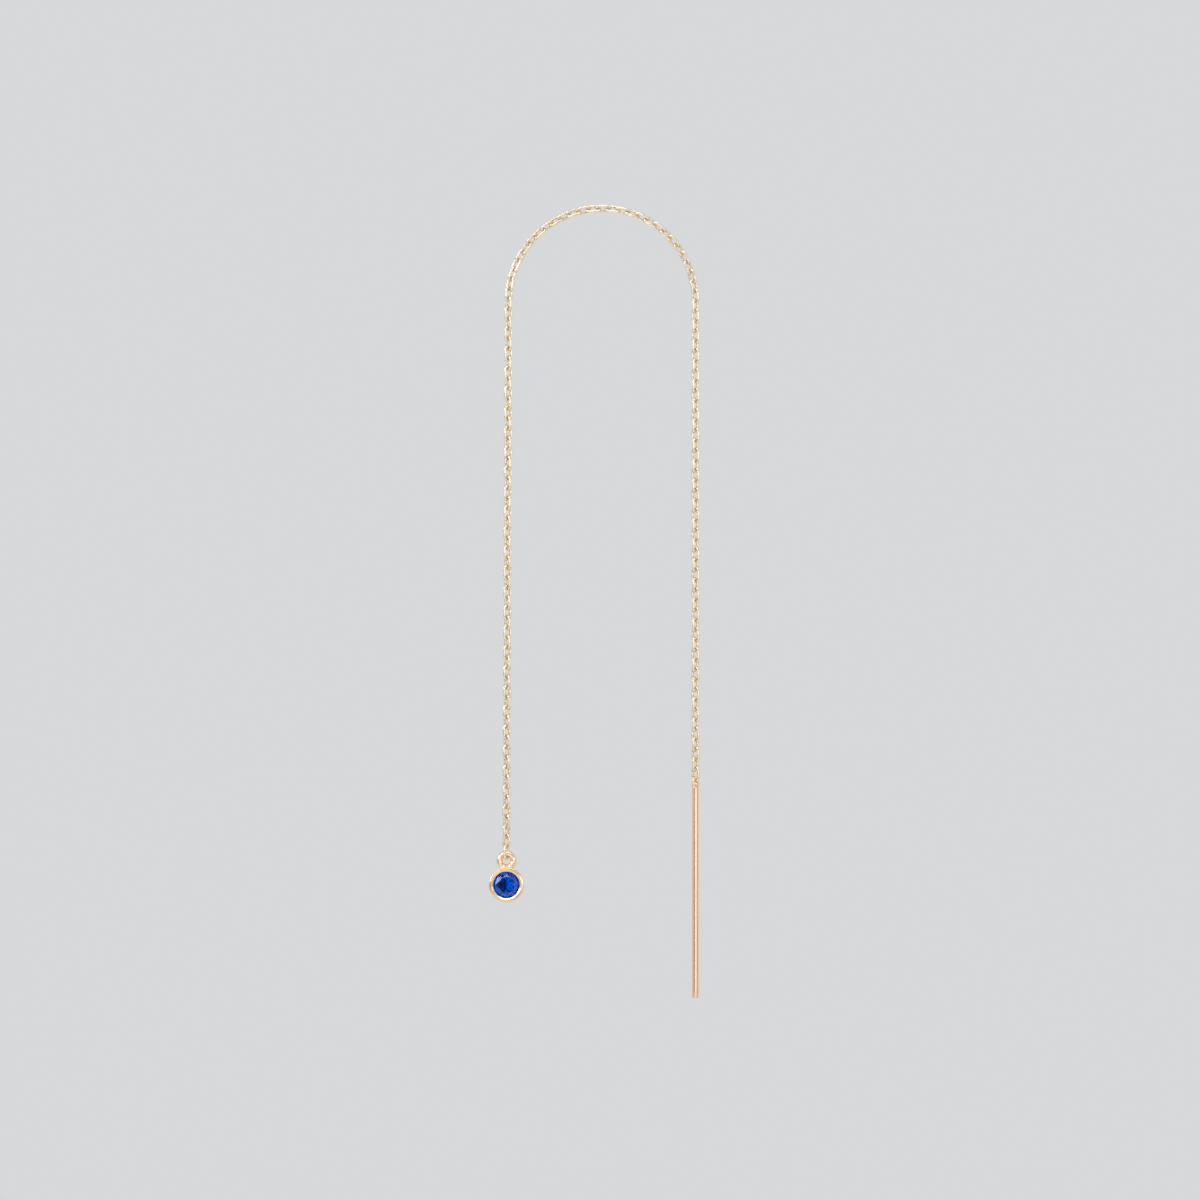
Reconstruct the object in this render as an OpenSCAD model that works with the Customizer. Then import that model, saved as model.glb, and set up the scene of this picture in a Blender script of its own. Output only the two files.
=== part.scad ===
// Threader earring, in millimetres, hanging the way it is worn.
// The origin is the top of the chain's bend, where it passes through the ear. +Z is up and
// the stone faces -Y. The front strand hangs on the -X side and the bar on the +X side.

/* [Chain] */
// Diameter of the chain's wire
link_wire = 0.22; // [0.16:0.01:0.28]
// Distance between the centres of neighbouring links
link_pitch = 0.995; // [0.9:0.005:1.4]
// Air between two wires where one link passes through another
link_clearance = 0.12; // [0.1:0.01:0.16]
// Radius of the bend over the ear, at the middle of the chain
arch_r = 9.35; // [5:0.05:14]
// Length of the front strand, from the bend down to its lowest small link
front_strand = 53.95; // [20:0.05:90]
// Length of the back strand, from the bend down to the link that carries the bar
back_strand = 47.2; // [15:0.05:90]
// How far the foot of the front strand stands outward of the bend
front_splay = 0.2; // [0:0.05:1]

/* [Twist of the chain] */
// Turn of every second link on the straight strands, from facing the viewer
strand_turn = 35; // [25:1:55]
// Turn of every second link over the bend
arch_turn = 45; // [35:1:55]
// Length over which the chain twists from one turn to the other
turn_run = 6; // [2:0.5:10]
// Extra turn of the end link, which the stone pulls round
end_turn = 35; // [0:1:36]
// Number of links over which the extra turn fades out
end_turn_links = 4; // [2:1:12]

/* [End link] */
// Air inside the oval end link, between the small link above and the ring's wire below
end_link_room = 0.12; // [0.1:0.01:0.4]

/* [Bail] */
// Diameter of the wire of the ring on top of the setting
bail_wire = 0.62; // [0.45:0.01:0.75]
// Diameter of the ring's hole
bail_hole = 0.76; // [0.6:0.01:1.2]
// Metal between the ring's hole and the setting's widest circle
bail_neck = 0.27; // [0.15:0.01:0.35]
// How far the ring stands behind the middle of the setting's depth
bail_back = 0.07; // [-0.3:0.01:0.3]

/* [Stone] */
// Diameter of the round stone at its girdle
stone_d = 3; // [2.4:0.05:5]
// Width of the flat table
table_d = 1.66; // [1.2:0.02:1.9]
// Height of the crown, from the girdle to the table
crown_h = 0.46; // [0.3:0.01:0.6]
// Thickness of the girdle
girdle_h = 0.06; // [0.03:0.01:0.12]
// Depth of the pavilion, from the girdle to its point
pavilion_h = 1.24; // [1:0.02:1.5]

/* [Setting] */
// Gap between the stone and the metal around it
stone_gap = 0.04; // [0.02:0.01:0.08]
// Wall of the setting beside the girdle
wall = 0.225; // [0.16:0.005:0.4]
// How far the lip reaches in over the stone
lip_reach = 0.17; // [0.08:0.01:0.24]
// Thickness of the lip at its inner edge
lip_edge = 0.06; // [0.03:0.01:0.12]
// Height of the ridge of the lip over its inner edge
lip_rise = 0.16; // [0.08:0.01:0.24]
// Radius of the lip's outer rounding
lip_round = 0.15; // [0.08:0.01:0.16]
// Metal behind the point of the stone
back_cover = 0.16; // [0.08:0.01:0.4]
// How much narrower the setting is at its back, on each side
back_taper = 0.3; // [0.1:0.01:0.5]
// Diameter of the light hole in the back
light_hole = 1.3; // [0.8:0.05:1.8]

/* [Bar] */
// Diameter of the bar
bar_d = 0.68; // [0.55:0.01:0.85]
// Length of the bar, from its shoulder to its tip
bar_len = 21.5; // [10:0.1:35]
// Radius of the edge at the bar's tip
tip_round = 0.13; // [0.05:0.01:0.25]
// Radius of the edge at the bar's top
top_round = 0.12; // [0.05:0.01:0.25]
// Radius of the solder beads where the eye meets the bar
solder_r = 0.15; // [0.13:0.01:0.18]

/* [Hidden] */

gold = [0.86, 0.68, 0.46];
blue = [0.05, 0.2, 0.7];
wire_sides = 32;
bend_sides = 48;
round_sides = 96;

// A link's bends run round the wire of its neighbour, so their radius is one wire and one gap.
link_bend = link_wire + link_clearance;
arch_len = PI * arch_r;
path_len = front_strand + arch_len + back_strand;
steps = round(path_len / link_pitch);
step = path_len / steps;
link_straight = even(step - link_bend);
middle = floor(steps / 2);

// A length to two thousandths, so that its halves and the faces that meet there are exact.
function even(length) = round(length * 500) / 500;

// Points of a round edge in an outline that is turned about Z, every 15 degrees round its middle.
function round_edge(x, z, r, from, to) =
    [for (a = [from : to > from ? 15 : -15 : to]) [x + r * cos(a), z + r * sin(a)]];

// Places along the chain: distance s runs from the lowest small link of the front strand.
function arch_angle(s) = min(180, max(0, (s - front_strand) / arch_len * 180));
function along_x(s) =
    -arch_r * cos(arch_angle(s)) - front_splay * max(0, 1 - s / front_strand);
function along_z(s) =
    s < front_strand ? s - front_strand - arch_r
    : s > front_strand + arch_len ? front_strand + arch_len - s - arch_r
    : arch_r * (sin(arch_angle(s)) - 1);

// Turn of the chain about its own line. Every second link stands a quarter turn from this.
function smooth(t) = t <= 0 ? 0 : t >= 1 ? 1 : t * t * (3 - 2 * t);
function into_arch(s) =
    min(s - front_strand, front_strand + arch_len - s) / turn_run + 0.5;
function end_fade(k) = pow(max(0, 1 - k / end_turn_links), 2);
function chain_turn(k, s) =
    strand_turn + (arch_turn - strand_turn) * smooth(into_arch(s)) + end_turn * end_fade(k);
function link_turn(k, s) = chain_turn(k, s) - (k % 2 == 1 ? 90 : 0);

// The end link hangs from the lowest small link, and the ring's wire lies in its lower bend.
end_bend = (bail_wire + link_wire) / 2 + link_clearance;
end_x = along_x(0);
end_straight = even(link_bend + link_wire / 2 + end_link_room + bail_wire / 2 - end_bend);
end_top = along_z(0) - link_straight / 2;
end_z = end_top - end_bend - end_straight / 2;
drop_pivot = end_z - end_straight / 2;

// The ring on the setting, and the setting under it.
bail_r = (bail_hole + bail_wire) / 2;
bail_z = drop_pivot - bail_r;
bezel_r = stone_d / 2 + stone_gap + wall;
bezel_z = bail_z - bail_hole / 2 - bail_neck - bezel_r;

// The stone's outline, with height 0 at the top of its girdle. Its facets repeat every eighth of a
// turn, and the long facets under the girdle run down to a quarter of its radius.
eighth = 360 / 8;
half_eighth = eighth / 2;
girdle_r = stone_d / 2;
table_r = table_d / 2;
star_r = (table_r * cos(half_eighth) + girdle_r) / 2;
star_h = crown_h * (girdle_r - star_r * cos(half_eighth)) / (girdle_r - table_r);
crown_slope = star_h / (girdle_r - star_r);
lower_r = girdle_r / 4;
lower_h = pavilion_h * (1 - lower_r * cos(half_eighth) / girdle_r);
pavilion_slope = pavilion_h / girdle_r;

// The setting's outline, in the stone's heights.
seat_r = girdle_r + stone_gap;
lip_r = girdle_r - lip_reach;
lip_under = stone_gap + crown_slope * (seat_r - lip_r);
ridge_h = lip_under + lip_edge + lip_rise;
seat_h = -girdle_h - stone_gap;
back_h = -girdle_h - pavilion_h - back_cover;
hole_h = seat_h - (seat_r - light_hole / 2) * pavilion_slope;
bezel_depth = ridge_h - back_h;
girdle_y = ridge_h - bezel_depth / 2 - bail_back;

// The bar hangs with its eye in the lower bend of the last link of the back strand.
last_x = along_x(path_len);
last_z = along_z(path_len);
bar_pivot = last_z - link_straight / 2;
bar_top = bar_pivot - link_bend - link_wire / 2 - link_clearance;
// The back strand runs downwards, so its links' turns count the other way there.
bar_turn = 90 - link_turn(steps + 1, path_len);
bar_r = bar_d / 2;

// Half of an oval of wire: one bend and the straight side that follows it.
module half_oval(bend, straight, wire) {
    translate([0, 0, straight / 2])
        rotate([90, 0, 0])
            rotate_extrude(angle = 180, $fn = bend_sides)
                translate([bend, 0])
                    circle(d = wire, $fn = wire_sides);
    translate([bend, 0, -straight / 2])
        cylinder(d = wire, h = straight, $fn = wire_sides);
}

// An oval link, upright and flat to the viewer.
module oval(bend, straight, wire) {
    for (side = [0, 180])
        rotate([0, side, 0])
            half_oval(bend, straight, wire);
}

// The small links numbered from first to last, each on the chain's line.
module links(first, last) {
    for (i = [first : last]) {
        s = i * step;
        translate([along_x(s), 0, along_z(s)])
            rotate([0, arch_angle(s), 0])
                rotate([0, 0, link_turn(i + 1, s)])
                    oval(link_bend, link_straight, link_wire);
    }
}

module chain_front() {
    color(gold)
        links(0, middle);
}

module chain_back() {
    color(gold)
        links(middle + 1, steps);
}

module end_link() {
    color(gold)
        translate([end_x, 0, end_z])
            rotate([0, 0, chain_turn(0, 0)])
                oval(end_bend, end_straight, link_wire);
}

// The ring that is soldered on top of the setting, facing the viewer.
module bail() {
    translate([end_x, 0, bail_z])
        rotate([90, 0, 0])
            rotate_extrude($fn = round_sides)
                translate([bail_r, 0])
                    circle(d = bail_wire, $fn = wire_sides);
}

// Turns a shape that stands on the girdle's plane so that its front faces the viewer.
module facing() {
    translate([end_x, girdle_y, bezel_z])
        rotate([90, 0, 0])
            children();
}

// The setting without its hollow: a tapered wall with a rounded ridge.
module cup_outside() {
    rotate_extrude($fn = round_sides)
        polygon(concat(
            [[0, back_h], [bezel_r - back_taper, back_h], [bezel_r, 0]],
            round_edge(bezel_r - lip_round, ridge_h - lip_round, lip_round, 0, 90),
            [[0, ridge_h]]
        ));
}

// The hollow: the bevel inside the lip, the stone's seat and the light hole.
module cup_inside() {
    over = 1;
    flare = (bezel_r - lip_round - lip_r) / lip_rise;
    rotate_extrude($fn = round_sides)
        polygon([
            [0, back_h - over],
            [light_hole / 2, back_h - over],
            [light_hole / 2, hole_h],
            [seat_r, seat_h],
            [seat_r, stone_gap],
            [lip_r, lip_under],
            [lip_r, lip_under + lip_edge],
            [lip_r + flare * (lip_rise + over), ridge_h + over],
            [0, ridge_h + over]
        ]);
}

module bezel() {
    color(gold)
        difference() {
            union() {
                facing()
                    cup_outside();
                bail();
            }
            facing()
                cup_inside();
        }
}

// The round brilliant: table, stars, kites and halves over a thin girdle and a pointed base.
module stone() {
    function ring(r, h, first, turn, count) =
        [for (i = [0 : count - 1]) [r * cos(first + turn * i), r * sin(first + turn * i), h]];
    points = concat(
        ring(table_r, crown_h, 0, eighth, 8),
        ring(star_r, star_h, half_eighth, eighth, 8),
        ring(girdle_r, 0, 0, half_eighth, 16),
        ring(girdle_r, -girdle_h, 0, half_eighth, 16),
        ring(lower_r, -girdle_h - lower_h, half_eighth, eighth, 8),
        [[0, 0, -girdle_h - pavilion_h]]
    );
    // The first point of each ring. The table's own ring starts at 0.
    star = 8;
    upper = 16;
    lower = 32;
    base = 48;
    point = 56;
    faces = concat(
        [[for (i = [7 : -1 : 0]) i]],
        [for (i = [0 : 7]) [i, (i + 1) % 8, star + i]],
        [for (i = [0 : 7]) [i, star + i, upper + 2 * i, star + (i + 7) % 8]],
        [for (i = [0 : 7]) [star + i, upper + 2 * i + 1, upper + 2 * i]],
        [for (i = [0 : 7]) [star + i, upper + (2 * i + 2) % 16, upper + 2 * i + 1]],
        [for (i = [0 : 15]) [upper + i, upper + (i + 1) % 16, lower + (i + 1) % 16, lower + i]],
        [for (i = [0 : 7]) [lower + 2 * i, lower + 2 * i + 1, base + i]],
        [for (i = [0 : 7]) [lower + 2 * i + 1, lower + (2 * i + 2) % 16, base + i]],
        [for (i = [0 : 7]) [lower + 2 * i, base + i, point, base + (i + 7) % 8]]
    );
    color(blue)
        facing()
            rotate([0, 0, half_eighth])
                polyhedron(points, faces, convexity = 2);
}

// The bar's rod with its rounded ends, standing under height 0.
module rod() {
    translate([0, 0, tip_round - bar_len])
        cylinder(r = bar_r, h = bar_len - tip_round - top_round, $fn = wire_sides);
    rotate_extrude($fn = wire_sides)
        polygon(concat(
            [[0, 0]],
            round_edge(bar_r - top_round, -top_round, top_round, 90, 0),
            [[0, -top_round]]
        ));
    rotate_extrude($fn = wire_sides)
        polygon(concat(
            [[0, tip_round - bar_len]],
            round_edge(bar_r - tip_round, tip_round - bar_len, tip_round, 0, -90),
            [[0, -bar_len]]
        ));
}

module bar() {
    leg = even(bar_pivot - link_bend - bar_top + solder_r);
    color(gold)
        translate([last_x, 0, bar_top]) {
            rod();
            rotate([0, 0, bar_turn])
                for (side = [-1, 1])
                    translate([side * link_bend, 0, -solder_r]) {
                        cylinder(d = link_wire, h = leg, $fn = wire_sides);
                        sphere(r = solder_r, $fn = wire_sides);
                    }
            rotate([0, 0, bar_turn])
                translate([0, 0, leg - solder_r])
                    rotate([90, 0, 0])
                        rotate_extrude(angle = 180, $fn = bend_sides)
                            translate([link_bend, 0])
                                circle(d = link_wire, $fn = wire_sides);
        }
}

chain_front();
chain_back();
end_link();
bezel();
stone();
bar();
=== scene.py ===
"""The looks of a threader earring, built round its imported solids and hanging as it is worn."""

import math
import random

import bpy
import numpy as np
from mathutils import Matrix, Vector


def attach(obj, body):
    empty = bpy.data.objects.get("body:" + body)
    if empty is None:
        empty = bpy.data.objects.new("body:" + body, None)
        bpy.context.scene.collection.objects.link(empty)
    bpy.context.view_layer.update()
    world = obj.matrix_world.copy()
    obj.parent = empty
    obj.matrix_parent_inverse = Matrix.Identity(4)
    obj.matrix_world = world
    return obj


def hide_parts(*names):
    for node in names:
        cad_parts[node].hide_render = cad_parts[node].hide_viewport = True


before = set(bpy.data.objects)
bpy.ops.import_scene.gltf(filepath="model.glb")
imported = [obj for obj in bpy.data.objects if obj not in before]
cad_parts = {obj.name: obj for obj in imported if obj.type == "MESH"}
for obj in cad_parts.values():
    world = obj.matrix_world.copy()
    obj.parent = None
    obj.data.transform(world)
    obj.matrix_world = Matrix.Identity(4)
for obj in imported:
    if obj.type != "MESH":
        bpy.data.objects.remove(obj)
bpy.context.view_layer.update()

MM = 0.001

# The view: the photograph looks straight along +Y at the hanging earring, through a long lens. One
# pixel of its 1200 is a tenth of a millimetre, and bend_top_px is the top of the chain's line.
photo_px = 1200
px_mm = 0.1
bend_top_px = (602, 208.5)
lens_distance = 1200 * MM
sensor = 36
view_width = photo_px * px_mm * MM

camera = bpy.data.objects.new("camera", bpy.data.cameras.new("camera"))
camera.data.sensor_width = sensor
camera.data.lens = sensor * lens_distance / view_width
camera.location = (
    (photo_px / 2 - bend_top_px[0]) * px_mm * MM,
    -lens_distance,
    (bend_top_px[1] - photo_px / 2) * px_mm * MM,
)
camera.rotation_euler = (math.pi / 2, 0, 0)
bpy.context.scene.collection.objects.link(camera)
bpy.context.scene.camera = camera
bpy.context.scene.view_settings.view_transform = "Standard"


# The chain: 132 small oval links of drawn gold wire, each bent round the last one and closed with
# a speck of solder on one side. It was then tumbled bright. The links hang a quarter turn apart.
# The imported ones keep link_air between them, so their wire, solid_wire, is thinner.
chain_wire = 0.26
solid_wire = 0.22
link_air = 0.12
pitch = 0.995
arch_r = 9.35
front_strand = 53.95
back_strand = 47.2
front_splay = 0.2
strand_turn, arch_turn, end_turn = 35, 45, 35
turn_run = 6
end_turn_links = 4

link_bend = solid_wire + link_air
arch_len = math.pi * arch_r
path_len = front_strand + arch_len + back_strand
steps = round(path_len / pitch)
step = path_len / steps
link_straight = step - link_bend


def arch_angle(s):
    return math.radians(min(180, max(0, (s - front_strand) / arch_len * 180)))


def along(s):
    """The chain's line, s mm from the lowest small link of the front strand."""
    x = -arch_r * math.cos(arch_angle(s)) - front_splay * max(0, 1 - s / front_strand)
    below = front_strand - s if s < front_strand else max(0, s - front_strand - arch_len)
    return Vector((x, 0, arch_r * (math.sin(arch_angle(s)) - 1) - below))


def chain_turn(k, s):
    """Turn of every second link from facing the viewer, in degrees."""
    t = min(1, max(0, min(s - front_strand, front_strand + arch_len - s) / turn_run + 0.5))
    into_arch = t * t * (3 - 2 * t)
    fade = max(0, 1 - k / end_turn_links) ** 2
    return strand_turn + (arch_turn - strand_turn) * into_arch + end_turn * fade


def piece(name, points, faces, body, node):
    """A mesh from points in millimetres, riding on a body and standing for its solids."""
    mesh = bpy.data.meshes.new(name)
    mesh.from_pydata([p * MM for p in points], [], faces)
    mesh.validate()
    mesh.polygons.foreach_set("use_smooth", [True] * len(mesh.polygons))
    obj = bpy.data.objects.new(name, mesh)
    bpy.context.scene.collection.objects.link(obj)
    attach(obj, body)
    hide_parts(node)
    return obj


def covering(first, rows, sides, closed=False):
    """Faces between neighbouring rows of points, where each row is a ring of so many sides."""
    faces = []
    for i in range(rows if closed else rows - 1):
        near, far = first + i * sides, first + (i + 1) % rows * sides
        for j in range(sides):
            after = (j + 1) % sides
            faces.append((near + j, near + after, far + after, far + j))
    return faces


def wire_row(middle, out, r, sides):
    """One row of points round a wire whose line lies in the XZ plane."""
    turns = [2 * math.pi * j / sides for j in range(sides)]
    return [middle + out * (r * math.cos(b)) + Vector((0, r * math.sin(b), 0)) for b in turns]


def add_oval(points, faces, reach, place, bend, straight, wire, seam_side, rings=44, sides=12):
    """One wire oval, with a low swelling of solder in the middle of one long side.

    Reach takes each point's distance from where a small link's wire hangs, or would hang, in the
    nearer end.
    """
    seam_run, seam_rise = 0.09, 0.07
    crossing = straight / 2 + bend - link_bend
    half = math.pi * bend
    length = 2 * (half + straight)
    faces += covering(len(points), rings, sides, closed=True)
    for i in range(rings):
        u = length * i / rings
        if u < half:
            a = u / bend
            middle = Vector((bend * math.cos(a), 0, straight / 2 + bend * math.sin(a)))
            out = Vector((math.cos(a), 0, math.sin(a)))
        elif u < half + straight:
            middle = Vector((-bend, 0, straight / 2 - (u - half)))
            out = Vector((-1, 0, 0))
        elif u < 2 * half + straight:
            a = math.pi + (u - half - straight) / bend
            middle = Vector((bend * math.cos(a), 0, -straight / 2 + bend * math.sin(a)))
            out = Vector((math.cos(a), 0, math.sin(a)))
        else:
            middle = Vector((bend, 0, -straight / 2 + (u - 2 * half - straight)))
            out = Vector((1, 0, 0))
        away = (middle - Vector((seam_side * bend, 0, 0))).length
        r = wire / 2 * (1 + seam_rise * math.exp(-((away / seam_run) ** 2)))
        for point in wire_row(middle, out, r, sides):
            points.append(place @ point)
            reach.append(math.hypot(point.x, point.y, abs(point.z) - crossing))


def keep_reach_for_shade(links, reach):
    """Keeps each point's reach on the mesh, for the material to paint shade where links cross."""
    links.data.attributes.new("reach", "FLOAT", "POINT").data.foreach_set("value", reach)
    return links


def strand(name, first, last, node, shake):
    """The small links numbered from first to last, with the little play that real links show."""
    play_turn, play_tilt = 2.5, 1.2
    points, faces, reach = [], [], []
    for i in range(first, last + 1):
        s = i * step
        k = i + 1
        turn = chain_turn(k, s) - (90 if k % 2 else 0) + shake.uniform(-play_turn, play_turn)
        tilt = math.radians(shake.uniform(-play_tilt, play_tilt))
        place = (
            Matrix.Translation(along(s))
            @ Matrix.Rotation(arch_angle(s) + tilt, 4, "Y")
            @ Matrix.Rotation(math.radians(turn), 4, "Z")
        )
        seam_side = 1 if k % 4 < 2 else -1
        add_oval(points, faces, reach, place, link_bend, link_straight, chain_wire, seam_side)
    return keep_reach_for_shade(piece(name, points, faces, "chain", node), reach)


shake = random.Random(5)
middle_link = steps // 2
chain_front = strand("chain_front_links", 0, middle_link, "chain_front", shake)
chain_back = strand("chain_back_links", middle_link + 1, steps, "chain_back", shake)


class Tone:
    """One output of a shader node. Sums and products of it with numbers add Math nodes."""

    def __init__(self, finish, socket):
        self.finish, self.socket = finish, socket

    def maths(self, operation, *values):
        return self.finish.node("ShaderNodeMath", {"operation": operation}, dict(enumerate(values)))

    def __add__(self, other):
        return self.maths("ADD", self, other)

    def __sub__(self, other):
        return self.maths("SUBTRACT", self, other)

    def __rsub__(self, other):
        return self.maths("SUBTRACT", other, self)

    def __mul__(self, other):
        return self.maths("MULTIPLY", self, other)

    __radd__, __rmul__ = __add__, __mul__

    def spread(self, gain):
        """A noise pulled away from its middle, so that more of it reaches 0 and 1."""
        return self * gain - (gain - 1) / 2


class Finish:
    """A material in the making, with its surface shader at hand."""

    def __init__(self, name, **constants):
        self.material = bpy.data.materials.new(name)
        self.material.use_nodes = True
        self.tree = self.material.node_tree
        self.skin = self.tree.nodes["Principled BSDF"]
        for socket, value in constants.items():
            self.skin.inputs[socket.replace("_", " ")].default_value = value

    def node(self, kind, settings=None, inputs=None, output=0):
        """Adds any node: its settings first, then the values or links of its sockets."""
        new = self.tree.nodes.new(kind)
        for name, value in (settings or {}).items():
            setattr(new, name, value)
        for name, value in (inputs or {}).items():
            if isinstance(value, Tone):
                self.tree.links.new(value.socket, new.inputs[name])
            elif isinstance(value, tuple) and len(value) == 3 and new.inputs[name].type == "RGBA":
                new.inputs[name].default_value = (*value, 1)
            else:
                new.inputs[name].default_value = value
        return Tone(self, new.outputs[output])

    def drive(self, name, tone):
        self.tree.links.new(tone.socket, self.skin.inputs[name])

    def place(self, stretch=(1, 1, 1)):
        """Places on the piece in metres, stretched along each axis."""
        where = self.node("ShaderNodeTexCoord", output="Object")
        return self.node("ShaderNodeMapping", inputs={0: where, "Scale": stretch})

    def noise(self, where, per_mm, detail=2.0, roughness=0.5):
        scale = per_mm / MM
        inputs = {"Vector": where, "Scale": scale, "Detail": detail, "Roughness": roughness}
        return self.node("ShaderNodeTexNoise", inputs=inputs)

    def fade(self, tone, start, end, first, last, course="SMOOTHSTEP"):
        """Goes from the first value to the last while the tone goes from start to end."""
        inputs = {0: tone, 1: start, 2: end, 3: first, 4: last}
        return self.node("ShaderNodeMapRange", {"interpolation_type": course}, inputs)

    def mix(self, amount, low, high):
        """A colour between two, or a number between two."""
        colours = isinstance(low, tuple) or isinstance(high, tuple)
        kind, low_socket, high_socket, result = ("RGBA", 6, 7, 2) if colours else ("FLOAT", 2, 3, 0)
        inputs = {0: amount, low_socket: low, high_socket: high}
        return self.node("ShaderNodeMix", {"data_type": kind, "clamp_factor": True}, inputs, result)

    def bump(self, height, depth_mm):
        inputs = {"Height": height, "Distance": depth_mm * MM, "Strength": 1.0}
        self.drive("Normal", self.node("ShaderNodeBump", inputs=inputs))


gold_light = (0.96, 0.73, 0.51)
gold_deep = (0.90, 0.62, 0.39)
solder_colour = (0.86, 0.67, 0.47)


def polished_gold(
    name, waves_per_mm, wave_mm, rough=(0.1, 0.2), stretch=(1, 1, 1),
    light=gold_light, deep=gold_deep, joint=None, crossing_shade=None,
):
    """Pale rose-yellow gold: a slightly uneven colour under a polish with fine marks.

    A joint, as its middle and its reach in millimetres, is duller and yellower with solder. A shade
    colour, when given, is painted shade deep in a link's bends, where neighbouring links cross.
    """
    patches_per_mm, patch_gain = 0.9, 1.6
    marks_finer, mark_gain, mark_height = 9, 1.8, 0.12
    gold = Finish(name, Metallic=1.0)
    where = gold.place(stretch)
    patches = gold.noise(where, patches_per_mm, detail=3)
    waves = gold.noise(where, waves_per_mm, detail=2)
    marks = gold.noise(where, waves_per_mm * marks_finer, detail=4, roughness=0.6)
    colour = gold.mix(patches.spread(patch_gain), deep, light)
    roughness = gold.mix(marks.spread(mark_gain), rough[0], rough[1])
    height = waves + marks * mark_height
    if joint:
        middle, reach = joint
        grains_per_mm, grain_sway, grain_height = 5, 0.3, 0.25
        solder_shows, solder_rough, solder_full, solder_gone = 0.6, 0.4, 0.05, 0.25
        grains = gold.noise(gold.place(), grains_per_mm, detail=3, roughness=0.6)
        ends = {0: gold.place(), 1: middle * MM}
        off = gold.node("ShaderNodeVectorMath", {"operation": "DISTANCE"}, ends, 1)
        off_mm = off * (1 / MM) + grains * grain_sway
        dull = gold.fade(off_mm, reach + solder_full, reach + solder_gone, 1.0, 0.0)
        colour = gold.mix(dull * solder_shows, colour, solder_colour)
        roughness = gold.mix(dull, roughness, solder_rough)
        height = height + dull * grains * grain_height
    if crossing_shade:
        # Painted shade: the colour darkens to the given shade colour near where neighbouring links
        # cross.
        crossing_shade_full, crossing_shade_gone = 0.2, 0.45
        reach = gold.node("ShaderNodeAttribute", {"attribute_name": "reach"}, output=2)
        colour = gold.mix(gold.fade(reach, crossing_shade_full, crossing_shade_gone, 0.0, 1.0), crossing_shade, colour)
    gold.drive("Base Color", colour)
    gold.drive("Roughness", roughness)
    gold.bump(height, wave_mm)
    return gold.material


# The third wire colour is painted shade, laid deep in the bends where the links cross.
wire_light, wire_deep, wire_crossing_shade = (0.94, 0.86, 0.73), (0.87, 0.71, 0.51), (0.7, 0.51, 0.28)
chain_gold = polished_gold(
    "tumbled gold wire", waves_per_mm=3.0, wave_mm=0.004,
    light=wire_light, deep=wire_deep, crossing_shade=wire_crossing_shade,
)
for links in (chain_front, chain_back):
    links.data.materials.append(chain_gold)


# The end link: a larger oval of the same wire, opened to take the ring of the setting and closed
# again with solder. The ring faces the front, so this link hangs nearly edge-on.
ring_wire, ring_hole = 0.62, 0.76
end_bend = (ring_wire + solid_wire) / 2 + link_air
end_straight = link_bend + solid_wire / 2 + link_air + ring_wire / 2 - end_bend
foot = along(0)
end_middle = foot - Vector((0, 0, link_straight / 2 + end_bend + end_straight / 2))
end_place = Matrix.Translation(end_middle) @ Matrix.Rotation(math.radians(chain_turn(0, 0)), 4, "Z")
points, faces, reach = [], [], []
add_oval(points, faces, reach, end_place, end_bend, end_straight, chain_wire, 1, rings=64, sides=16)
end_link = keep_reach_for_shade(piece("end_link_oval", points, faces, "chain", "end_link"), reach)
end_link.data.materials.append(chain_gold)


# The bar: 21.5 mm of round drawn wire, filed round at both ends. Half a link stands astride its top
# as an eye. The solder that holds it has run round the rim and down the foot of each leg.
bar_d, bar_len = 0.68, 21.5
tip_round, top_round = 0.13, 0.12
bar_r = bar_d / 2
last = along(path_len)
bar_pivot = last.z - link_straight / 2
bar_top = bar_pivot - link_bend - solid_wire / 2 - link_air
eye_turn = math.radians(90 - strand_turn)
eye_foot, eye_rise = -0.36, link_air + solid_wire / 2
rim_out, rim_h, rim_over, rim_under = 0.05, -0.05, 0.09, 0.3
leg_thins, leg_filed = -0.12, 0.5
bar_solder, bar_solder_reach = 0.13, 0.35


def lathe_points(outline, place, sides):
    """Points of a solid of revolution about the place's own Z, from (radius, height) pairs."""
    turns = [2 * math.pi * j / sides for j in range(sides)]
    corners = [(r * math.cos(a), r * math.sin(a), h) for r, h in outline for a in turns]
    return [place @ Vector(corner) for corner in corners]


def arc(centre, r, start, end, count=8):
    """Points on an arc, in degrees, as (radius, height) pairs."""
    angles = [math.radians(start + (end - start) * i / count) for i in range(count + 1)]
    return [(centre[0] + r * math.cos(a), centre[1] + r * math.sin(a)) for a in angles]


def tube_points(middles, radii, sides):
    """Points of a round wire along a line that lies in the XZ plane."""
    points = []
    for i, (middle, r) in enumerate(zip(middles, radii)):
        ahead = (middles[min(i + 1, len(middles) - 1)] - middles[max(i - 1, 0)]).normalized()
        points += wire_row(middle, Vector((0, 1, 0)).cross(ahead), r, sides)
    return points


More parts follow.
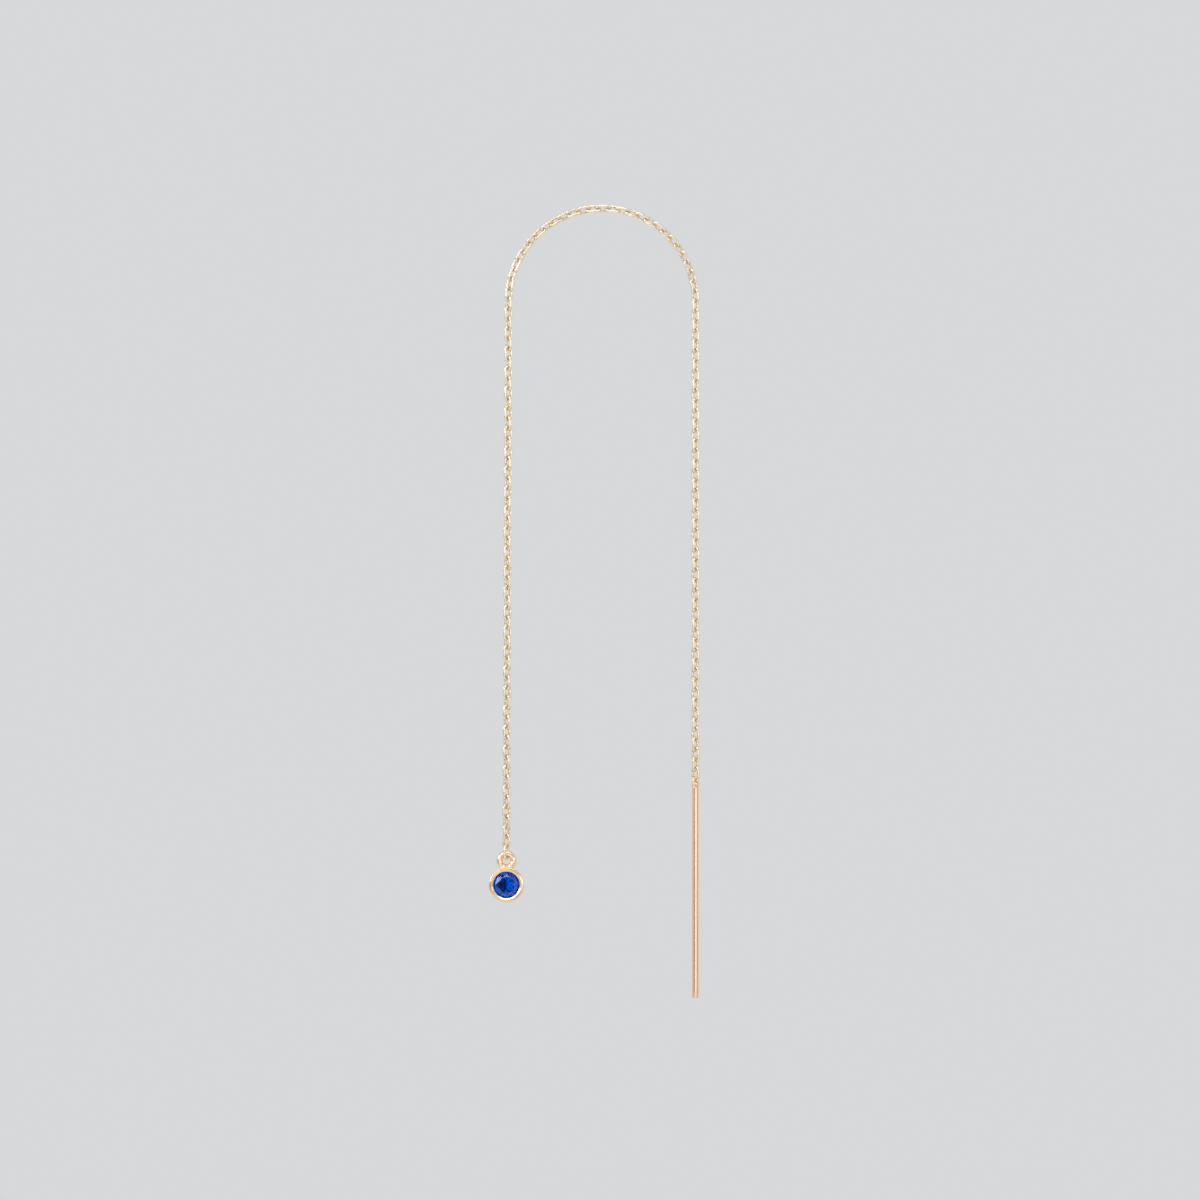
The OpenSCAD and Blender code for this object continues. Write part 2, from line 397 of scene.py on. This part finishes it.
def soldered(points, own, other, solder):
    """Points of one piece, moved out on to the fillet of solder that joins it to the other.

    Own and other give distances to the two pieces. Where the other one leads, the points stay just
    under its surface, and what lies deep inside it stays there.
    """
    under, tiny, least_steep, rounds = solder / 20, 0.001, 0.2, 14
    p = np.array([list(point) for point in points])
    inside = other(p) < -solder / 4

    def depth(p):
        a, b = own(p), other(p)
        near = np.clip(1 - abs(a - b) / solder, 0, None)
        return np.minimum(a, b) - near**2 * solder / 4 + np.clip(a - b, 0, under)

    for _ in range(rounds):
        moves = (abs(own(p) - other(p)) < solder) & ~inside
        nudges = np.eye(3) * tiny
        slope = np.stack([(depth(p + d) - depth(p - d)) / (2 * tiny) for d in nudges], axis=1)
        steep = np.clip((slope**2).sum(axis=1), least_steep, None)
        p -= (np.where(moves, depth(p), 0) / steep)[:, None] * slope
    return [Vector(point) for point in p]


def rod_radius(h):
    """The bar's radius with its low collar of solder. Height h counts up from the bar's top."""
    run = np.where(h > rim_h, rim_over, rim_under)
    return bar_r + rim_out * np.exp(-(((h - rim_h) / run) ** 2))


def rod_distance(p):
    out = np.hypot(p[:, 0], p[:, 1]) - (rod_radius(p[:, 2]) - top_round)
    up = p[:, 2] + top_round
    outside = np.hypot(np.clip(out, 0, None), np.clip(up, 0, None))
    return outside + np.minimum(np.maximum(out, up), 0) - top_round


def leg_radius(h):
    """The eye's wire is filed thinner where it lies along the bar."""
    filed = np.clip((leg_thins - h) / (leg_thins - eye_foot), 0, 1) ** 2
    return chain_wire / 2 * (1 - leg_filed * filed)


def eye_distance(p):
    x, y, h = abs(p[:, 0]), p[:, 1], p[:, 2] - eye_rise
    hoop = np.hypot(np.hypot(x, h) - link_bend, y)
    leg = np.sqrt((x - link_bend) ** 2 + y**2 + np.clip(eye_foot - p[:, 2], 0, None) ** 2)
    return np.where(h > 0, hoop, leg) - leg_radius(p[:, 2])


near_axis = 0.001
shaft_low, shaft_rows = tip_round - bar_len, 24
collar_low, collar_rows = -0.8, 32
top_rows = 8
rod_sides, eye_sides = 96, 24
rod = [(near_axis, -bar_len)]
rod += arc((bar_r - tip_round, shaft_low), tip_round, -90, 0)
shaft = [shaft_low + (collar_low - shaft_low) * i / shaft_rows for i in range(1, shaft_rows)]
rod += [(bar_r, h) for h in shaft]
collar = [collar_low - (collar_low + top_round) * i / collar_rows for i in range(collar_rows)]
rod += [(float(rod_radius(h)), h) for h in collar]
rod += arc((float(rod_radius(-top_round)) - top_round, -top_round), top_round, 0, 90)
rod += [((bar_r - top_round) * i / top_rows, 0) for i in range(top_rows - 1, 0, -1)]
rod += [(near_axis, 0)]
rod_points = lathe_points(rod, Matrix(), rod_sides)

leg_rows, hoop_rows = 28, 32
toe_rows, toe_first, toe_turn = 6, 1, 15
foot_r = float(leg_radius(eye_foot))
toe_angles = [math.radians(toe_first + toe_turn * i) for i in range(toe_rows)]
toes = [Vector((link_bend, 0, eye_foot - foot_r * math.cos(a))) for a in toe_angles]
leg_steps = [eye_foot + (eye_rise - eye_foot) * i / leg_rows for i in range(leg_rows)]
legs = [Vector((link_bend, 0, z)) for z in leg_steps]
half_eye = toes + legs
turns = [math.pi * i / hoop_rows for i in range(hoop_rows + 1)]
hoop = [Vector((link_bend * math.cos(a), 0, eye_rise + link_bend * math.sin(a))) for a in turns]
eye = half_eye + hoop + [Vector((-p.x, 0, p.z)) for p in reversed(half_eye)]
leg_radii = [foot_r * math.sin(a) for a in toe_angles] + [float(leg_radius(p.z)) for p in legs]
eye_radii = leg_radii + [chain_wire / 2] * len(hoop) + leg_radii[::-1]
eye_points = tube_points(eye, eye_radii, eye_sides)

faces = covering(0, len(rod), rod_sides) + covering(len(rod_points), len(eye), eye_sides)
points = soldered(rod_points, rod_distance, eye_distance, bar_solder)
points += soldered(eye_points, eye_distance, rod_distance, bar_solder)
bar_place = Matrix.Translation((last.x, 0, bar_top)) @ Matrix.Rotation(eye_turn, 4, "Z")
bar = piece("bar_and_eye", [bar_place @ p for p in points], faces, "threader", "bar")
bar_joint = (Vector((last.x, 0, bar_top)), bar_solder_reach)
rod_gold = polished_gold(
    "drawn gold rod", waves_per_mm=2.0, wave_mm=0.002, stretch=(1, 1, 0.05), joint=bar_joint
)
bar.data.materials.append(rod_gold)


# The setting: a small cup turned from gold rod, its lip pressed and burnished down over the
# stone's edge. The ring on top is round wire, soldered where it sits on the wall.
stone_d, table_d, crown_h, girdle_h, pavilion_h = 3.0, 1.66, 0.46, 0.06, 1.24
stone_gap, wall, lip_reach, lip_edge, lip_rise = 0.04, 0.225, 0.17, 0.06, 0.16
lip_round, back_cover, back_taper, light_hole = 0.15, 0.16, 0.3, 1.3
ring_neck, ring_back = 0.27, 0.07

girdle_r, table_r = stone_d / 2, table_d / 2
eighth = math.pi / 8
star_r = (table_r * math.cos(eighth) + girdle_r) / 2
star_h = crown_h * (girdle_r - star_r * math.cos(eighth)) / (girdle_r - table_r)
crown_slope = star_h / (girdle_r - star_r)
seat_r, lip_r = girdle_r + stone_gap, girdle_r - lip_reach
lip_under = stone_gap + crown_slope * (seat_r - lip_r)
ridge_h = lip_under + lip_edge + lip_rise
seat_h = -girdle_h - stone_gap
back_h = -girdle_h - pavilion_h - back_cover
hole_r = light_hole / 2
hole_h = seat_h - (seat_r - hole_r) * pavilion_h / girdle_r
cup_r = girdle_r + stone_gap + wall

drop_pivot = end_middle.z - end_straight / 2
ring_r = (ring_hole + ring_wire) / 2
ring_z = drop_pivot - ring_r
cup_z = ring_z - ring_hole / 2 - ring_neck - cup_r
cup_y = ridge_h - (ridge_h - back_h) / 2 - ring_back
cup_place = Matrix.Translation((foot.x, cup_y, cup_z)) @ Matrix.Rotation(math.pi / 2, 4, "X")

# The cup's outline runs from the light hole round the back, up the wall, over the lip's round
# face, ridge and bevel to its edge, and back down past the seat.
taper = back_taper / -back_h
face_x, face_h = cup_r - lip_round, ridge_h - lip_round
ridge_r, face_drop, bevel_drop = 1.5, 0.026, 0.085
hole_round, back_round, ridge_round, edge_round = 0.03, 0.06, 0.04, 0.02
face_end, bevel_from, bevel_to = 78, 119, 122
wall_rows, cup_sides = 32, 240
outline = [(hole_r, hole_h), (hole_r, back_h + hole_round)]
outline += arc((hole_r + hole_round, back_h + hole_round), hole_round, 180, 270, count=4)
outline += arc((cup_r - back_taper - back_round, back_h + back_round), back_round, -90, 0, count=4)
wall_steps = [i / wall_rows for i in range(wall_rows - 2, -1, -1)]
outline += [(cup_r - back_taper * part, back_h * part) for part in wall_steps]
outline += arc((face_x, face_h - face_drop), lip_round, 0, face_end, count=12)
outline += arc((ridge_r, ridge_h - ridge_round), ridge_round, face_end, bevel_from, count=6)
edge_h = ridge_h - bevel_drop - edge_round
outline += arc((lip_r + edge_round, edge_h), edge_round, bevel_to, 180, count=4)
outline += [(lip_r, lip_under), (seat_r, stone_gap), (seat_r, seat_h), (hole_r, hole_h)]
cup_points = lathe_points(outline, cup_place, cup_sides)

# The burnisher leaves the lip a touch uneven: each stroke presses it a hair further in and down.
# The lip's underside stays where it is.
strokes = random.Random(11)
stroke_counts = (2, 3, 5, 7, 11, 17, 23)
stroke_mm, stroke_fades, stroke_in, stroke_down = 0.012, 0.7, 0.5, 0.8
just_above = 1.02
lip_from = lip_under * just_above
swings = [(n, strokes.uniform(0, 2 * math.pi), stroke_mm / n**stroke_fades) for n in stroke_counts]
for i, p in enumerate(cup_points):
    x, z = p.x - foot.x, p.z - cup_z
    r, around = math.hypot(x, z), math.atan2(z, x)
    pressed = min(1, max(0, (face_x - r) / (face_x - lip_r))) if cup_y - p.y > lip_from else 0
    sway = sum(size * math.sin(n * around + start) for n, start, size in swings)
    inward = 1 - stroke_in * pressed * max(0, sway) / r
    down = stroke_down * pressed * sway
    cup_points[i] = Vector((foot.x + x * inward, p.y + down, cup_z + z * inward))


def ring_distance(p):
    across = np.hypot(p[:, 0] - foot.x, p[:, 2] - ring_z)
    return np.hypot(across - ring_r, p[:, 1]) - ring_wire / 2


def cup_distance(p):
    wall_here = cup_r - taper * np.clip(p[:, 1] - cup_y, 0, None)
    return (np.hypot(p[:, 0] - foot.x, p[:, 2] - cup_z) - wall_here) / math.hypot(1, taper)


ring_rows, ring_sides = 144, 48
ring_solder, ring_solder_reach = 0.3, 0.45
ring_points = []
for i in range(ring_rows):
    a = 2 * math.pi * i / ring_rows
    for j in range(ring_sides):
        b = 2 * math.pi * j / ring_sides
        out = ring_r + ring_wire / 2 * math.cos(b)
        x, y, z = out * math.cos(a), ring_wire / 2 * math.sin(b), out * math.sin(a)
        ring_points.append(Vector((foot.x + x, y, ring_z + z)))

faces = covering(0, len(outline), cup_sides)
faces += covering(len(cup_points), ring_rows, ring_sides, closed=True)
points = soldered(cup_points, cup_distance, ring_distance, ring_solder)
points += soldered(ring_points, ring_distance, cup_distance, ring_solder)
setting = piece("bezel_cup_and_ring", points, faces, "drop", "bezel")
ring_joint = (Vector((foot.x, 0, cup_z + cup_r)), ring_solder_reach)
setting_gold = polished_gold(
    "burnished gold setting", waves_per_mm=1.6, wave_mm=0.012, rough=(0.12, 0.24), joint=ring_joint
)
setting.data.materials.append(setting_gold)


# The stone: a round brilliant of clear royal blue, cut with a table, stars, kites and halves. It is
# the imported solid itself. It rests with its girdle on the cup's seat, and the lip holds it down.
surface_blue, deep_blue, deep_per_m = (0.04, 0.6, 0.95), (0.05, 0.58, 0.84), 1700
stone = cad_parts["stone"]
blue = Finish(
    "royal blue stone",
    Base_Color=(*surface_blue, 1), Roughness=0.0, IOR=1.65, Transmission_Weight=1.0,
)
depth = blue.node("ShaderNodeVolumeAbsorption", inputs={"Color": deep_blue, "Density": deep_per_m})
blue.tree.links.new(depth.socket, blue.tree.nodes["Material Output"].inputs["Volume"])
stone.data.materials.clear()
stone.data.materials.append(blue.material)


# The room: a pale floor below the earring that fades into even pale light all round, soft boxes of
# light, and grey cards that give the polished metal and the stone something to show.
floor_z, floor_r, floor_sides = -0.4, 3.4, 96
fade_from, fade_to = 0.6, 3.2
mesh = bpy.data.meshes.new("floor")
turns = [2 * math.pi * i / floor_sides for i in range(floor_sides)]
rim = [(floor_r * math.cos(a), floor_r * math.sin(a), floor_z) for a in turns]
mesh.from_pydata(rim, [], [range(floor_sides)])
floor = bpy.data.objects.new("floor", mesh)
bpy.context.scene.collection.objects.link(floor)
paper = Finish("pale floor", Base_Color=(0.86, 0.88, 0.89, 1), Roughness=0.9)
away = paper.node("ShaderNodeVectorMath", {"operation": "LENGTH"}, {0: paper.place()}, 1)
paper.drive("Alpha", paper.fade(away, fade_from, fade_to, 1.0, 0.0, course="LINEAR"))
mesh.materials.append(paper.material)

world = bpy.data.worlds.new("studio")
world.use_nodes = True
air = world.node_tree.nodes["Background"]
air.inputs["Color"].default_value = (0.97, 0.985, 1.0, 1)
air.inputs["Strength"].default_value = 0.7
bpy.context.scene.world = world

subject = Vector((0, 0, -0.067))
box_distance = 0.8


def aim(obj, azimuth, elevation, distance):
    """Stands something round the earring, facing it. Azimuth 0 is in front, 90 on the right."""
    a, e = math.radians(azimuth), math.radians(elevation)
    away = Vector((math.sin(a) * math.cos(e), -math.cos(a) * math.cos(e), math.sin(e)))
    obj.location = subject + away * distance
    obj.rotation_mode = "QUATERNION"
    obj.rotation_quaternion = away.to_track_quat("Z", "Y")
    bpy.context.scene.collection.objects.link(obj)


def softbox(name, azimuth, elevation, size, power):
    lamp = bpy.data.lights.new(name, "AREA")
    lamp.shape, lamp.size, lamp.size_y, lamp.energy = "RECTANGLE", size[0], size[1], power
    aim(bpy.data.objects.new(name, lamp), azimuth, elevation, box_distance)


def card(name, azimuth, elevation, distance, size, grey):
    """A card that only shows in what it dims and in reflections, never before the camera."""
    w, h = size[0] / 2, size[1] / 2
    mesh = bpy.data.meshes.new(name)
    mesh.from_pydata([(-w, -h, 0), (w, -h, 0), (w, h, 0), (-w, h, 0)], [], [(0, 1, 2, 3)])
    board = bpy.data.objects.new(name, mesh)
    paint = Finish(name, Base_Color=(grey, grey, grey, 1), Roughness=1.0, Specular_IOR_Level=0.0)
    mesh.materials.append(paint.material)
    board.visible_camera = False
    aim(board, azimuth, elevation, distance)


softbox("front left box", -9, 0, (0.19, 0.46), 0.38)
softbox("front strip", 8, -1.4, (0.26, 0.075), 0.035)
softbox("front right box", 31, 0, (0.4, 0.34), 0.15)
softbox("chain right box", 42, 8, (0.6, 0.2), 0.3)
softbox("chain left box", -42, 8, (0.5, 0.2), 0.25)
softbox("left key", -66, 23, (0.22, 0.3), 1.2)
softbox("left high box", -44, 45, (0.25, 0.2), 0.3)
softbox("right box", 108, 10, (0.3, 0.9), 0.3)
softbox("top strip", 0, 59, (0.9, 0.18), 1.5)
softbox("top box", 0, 90, (0.5, 0.5), 1.0)
softbox("high front box", 0, 43, (0.1, 0.08), 0.06)
softbox("left star box", -34.6, 29.6, (0.1, 0.1), 0.13)
card("front left card", -36, -1.5, 0.7, (0.44, 0.1), 0.22)
card("front high card", 8.5, 9, 0.7, (0.14, 0.18), 0.3)
card("front low card", 8.5, -11, 0.7, (0.16, 0.16), 0.25)
card("right side card", 70, -1.5, 0.7, (0.34, 0.1), 0.45)
card("overhead card", 0, 71, 0.6, (0.7, 0.14), 0.1)
card("camera front", -1.5, -1.4, 0.5, (0.05, 0.05), 0.02)
